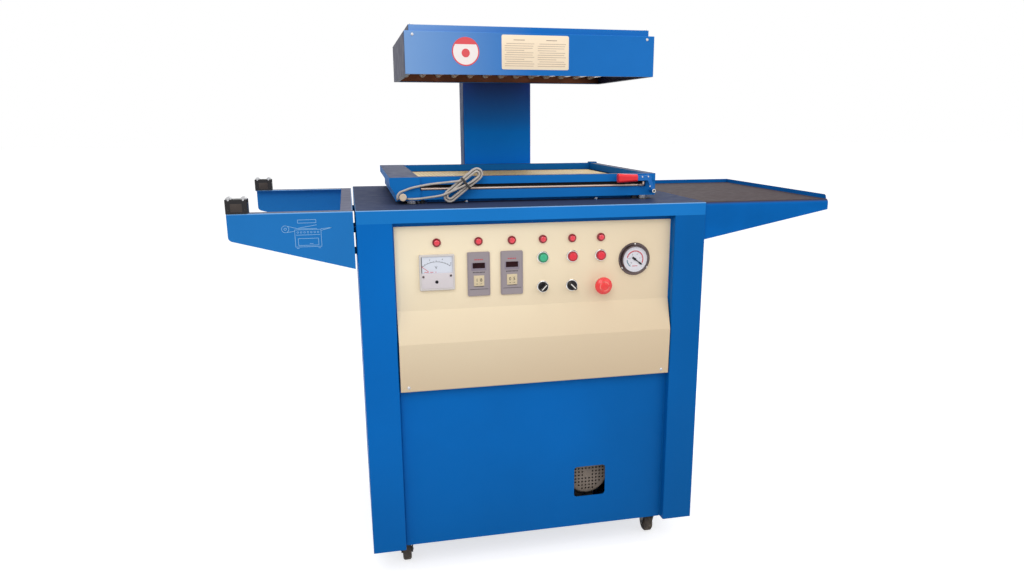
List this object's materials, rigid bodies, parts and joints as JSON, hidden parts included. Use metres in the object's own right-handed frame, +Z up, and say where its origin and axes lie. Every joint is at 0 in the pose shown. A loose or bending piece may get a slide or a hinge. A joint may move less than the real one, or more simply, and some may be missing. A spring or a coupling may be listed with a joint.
{
  "type": "skin packaging machine",
  "caption": "Floor-standing skin packaging machine: wheeled cabinet with a folded control panel, vacuum platform, lifting film frame, heater on a column, film roll plates and a tray.",
  "frame": {"origin": "on the floor, under the middle of the machine's box", "axes": "+X to the operator's right, +Y to the back, +Z up"},
  "size_m": [1.38, 0.7354, 1.279],
  "materials": {
    "blue_paint": "gloss paint",
    "cream_paint": "satin paint",
    "steel": "turned",
    "chrome": "polished",
    "platform_paint": "satin paint",
    "black_plastic": "moulded",
    "grey_plastic": "moulded",
    "white_plastic": "moulded",
    "red_plastic": "moulded",
    "green_plastic": "moulded",
    "seal_rubber": "matt",
    "tyre_rubber": "matt",
    "reflector": "bright",
    "quartz": "clear",
    "pump_paint": "satin paint",
    "cord_cover": "flexible"
  },
  "bodies": {
    "machine": {"side_panel_left": "blue_paint", "side_panel_right": "blue_paint", "back_panel": "blue_paint", "base_pan": "blue_paint", "front_rail": "blue_paint", "lower_front_panel": "blue_paint", "control_panel": "cream_paint", "table_top": "blue_paint", "vacuum_box": "blue_paint", "platform_plate": "platform_paint", "guide_bushes": "black_plastic", "column": "blue_paint", "heater_arm": "blue_paint", "heater_housing": "blue_paint", "heater_lid": "blue_paint", "heater_reflector": "reflector", "heater_tubes": "quartz", "roll_plate_front": "blue_paint", "roll_plate_rear": "blue_paint", "roll_plate_end": "blue_paint", "roller_blocks": "black_plastic", "tray_pan": "blue_paint", "voltmeter": "grey_plastic", "timers": "grey_plastic", "vacuum_gauge": "chrome", "indicator_lamps": "red_plastic", "control_bezels": "chrome", "vacuum_pump": "pump_paint", "fan_cover": "pump_paint", "caster_plates": "steel"},
    "film_frame": {"lower_frame": "blue_paint", "frame_seal": "seal_rubber", "lift_rods": "chrome", "cutter_rod": "steel"},
    "top_frame": {"upper_frame": "blue_paint", "hinge_ears": "blue_paint", "hinge_caps": "white_plastic", "cord_upper": "cord_cover", "cord_lower": "cord_cover", "cord_hank": "cord_cover"},
    "lever": {"clamp_lever": "blue_paint", "clamp_grip": "red_plastic"},
    "start_button": {"start_button": "green_plastic"},
    "stop_button": {"stop_button": "red_plastic"},
    "heat_button": {"heat_button": "red_plastic"},
    "selector_left": {"selector_left": "black_plastic"},
    "selector_right": {"selector_right": "black_plastic"},
    "estop_head": {"estop_head": "red_plastic"},
    "film_roller_front_outer": {"film_roller_front_outer": "steel"},
    "film_roller_front_inner": {"film_roller_front_inner": "steel"},
    "film_roller_rear_outer": {"film_roller_rear_outer": "steel"},
    "film_roller_rear_inner": {"film_roller_rear_inner": "steel"},
    "caster_fork_front_left": {"caster_fork_front_left": "black_plastic"},
    "caster_wheel_front_left": {"caster_wheel_front_left": "tyre_rubber"},
    "caster_fork_front_right": {"caster_fork_front_right": "black_plastic"},
    "caster_wheel_front_right": {"caster_wheel_front_right": "tyre_rubber"},
    "caster_fork_rear_left": {"caster_fork_rear_left": "black_plastic"},
    "caster_wheel_rear_left": {"caster_wheel_rear_left": "tyre_rubber"},
    "caster_fork_rear_right": {"caster_fork_rear_right": "black_plastic"},
    "caster_wheel_rear_right": {"caster_wheel_rear_right": "tyre_rubber"}
  },
  "joints": [
    {"name": "frame_lift", "type": "slide", "parent": "machine", "child": "film_frame", "axis": [0, 0, 1], "range_m": [0, 0.215]},
    {"name": "upper_frame_hinge", "type": "hinge", "parent": "film_frame", "child": "top_frame", "pos_m": [-0.325, -0.24275, 0.9016], "axis": [0, 1, 0], "range_deg": [-15, 0]},
    {"name": "clamp_lever_pivot", "type": "hinge", "parent": "top_frame", "child": "lever", "pos_m": [0.261, -0.26075, 0.936], "axis": [0, -1, 0], "range_deg": [-90, 0]},
    {"name": "film_roller_front_outer_spin", "type": "hinge", "parent": "machine", "child": "film_roller_front_outer", "pos_m": [-0.6825, -0.34275, 0.9135], "axis": [0, 1, 0], "continuous": true},
    {"name": "film_roller_front_inner_spin", "type": "hinge", "parent": "machine", "child": "film_roller_front_inner", "pos_m": [-0.6535, -0.34275, 0.9135], "axis": [0, 1, 0], "continuous": true},
    {"name": "film_roller_rear_outer_spin", "type": "hinge", "parent": "machine", "child": "film_roller_rear_outer", "pos_m": [-0.6825, 0.21925, 0.9135], "axis": [0, 1, 0], "continuous": true},
    {"name": "film_roller_rear_inner_spin", "type": "hinge", "parent": "machine", "child": "film_roller_rear_inner", "pos_m": [-0.6535, 0.21925, 0.9135], "axis": [0, 1, 0], "continuous": true},
    {"name": "start_button_press", "type": "slide", "parent": "machine", "child": "start_button", "axis": [0, 1, 0], "range_m": [0, 0.0035], "stiffness_N_per_m": 400},
    {"name": "stop_button_press", "type": "slide", "parent": "machine", "child": "stop_button", "axis": [0, 1, 0], "range_m": [0, 0.0035], "stiffness_N_per_m": 400},
    {"name": "heat_button_press", "type": "slide", "parent": "machine", "child": "heat_button", "axis": [0, 1, 0], "range_m": [0, 0.0035], "stiffness_N_per_m": 400},
    {"name": "estop_press", "type": "slide", "parent": "machine", "child": "estop_head", "axis": [0, 1, 0], "range_m": [0, 0.0045], "stiffness_N_per_m": 800},
    {"name": "selector_left_turn", "type": "hinge", "parent": "machine", "child": "selector_left", "pos_m": [-0.02, -0.33575, 0.699], "axis": [0, -1, 0], "range_deg": [0, 90]},
    {"name": "selector_right_turn", "type": "hinge", "parent": "machine", "child": "selector_right", "pos_m": [0.049, -0.33575, 0.699], "axis": [0, -1, 0], "range_deg": [-90, 0]},
    {"name": "caster_swivel_front_left", "type": "hinge", "parent": "machine", "child": "caster_fork_front_left", "pos_m": [-0.35, -0.27475, 0.0697], "axis": [0, 0, 1], "continuous": true},
    {"name": "caster_swivel_front_right", "type": "hinge", "parent": "machine", "child": "caster_fork_front_right", "pos_m": [0.286, -0.27475, 0.0697], "axis": [0, 0, 1], "continuous": true},
    {"name": "caster_swivel_rear_left", "type": "hinge", "parent": "machine", "child": "caster_fork_rear_left", "pos_m": [-0.35, 0.20325, 0.0697], "axis": [0, 0, 1], "continuous": true},
    {"name": "caster_swivel_rear_right", "type": "hinge", "parent": "machine", "child": "caster_fork_rear_right", "pos_m": [0.286, 0.20325, 0.0697], "axis": [0, 0, 1], "continuous": true},
    {"name": "caster_spin_front_left", "type": "hinge", "parent": "caster_fork_front_left", "child": "caster_wheel_front_left", "pos_m": [-0.35, -0.25875, 0.025], "axis": [1, 0, 0], "continuous": true},
    {"name": "caster_spin_front_right", "type": "hinge", "parent": "caster_fork_front_right", "child": "caster_wheel_front_right", "pos_m": [0.286, -0.25875, 0.025], "axis": [1, 0, 0], "continuous": true},
    {"name": "caster_spin_rear_left", "type": "hinge", "parent": "caster_fork_rear_left", "child": "caster_wheel_rear_left", "pos_m": [-0.35, 0.21925, 0.025], "axis": [1, 0, 0], "continuous": true},
    {"name": "caster_spin_rear_right", "type": "hinge", "parent": "caster_fork_rear_right", "child": "caster_wheel_rear_right", "pos_m": [0.286, 0.21925, 0.025], "axis": [1, 0, 0], "continuous": true}
  ]
}
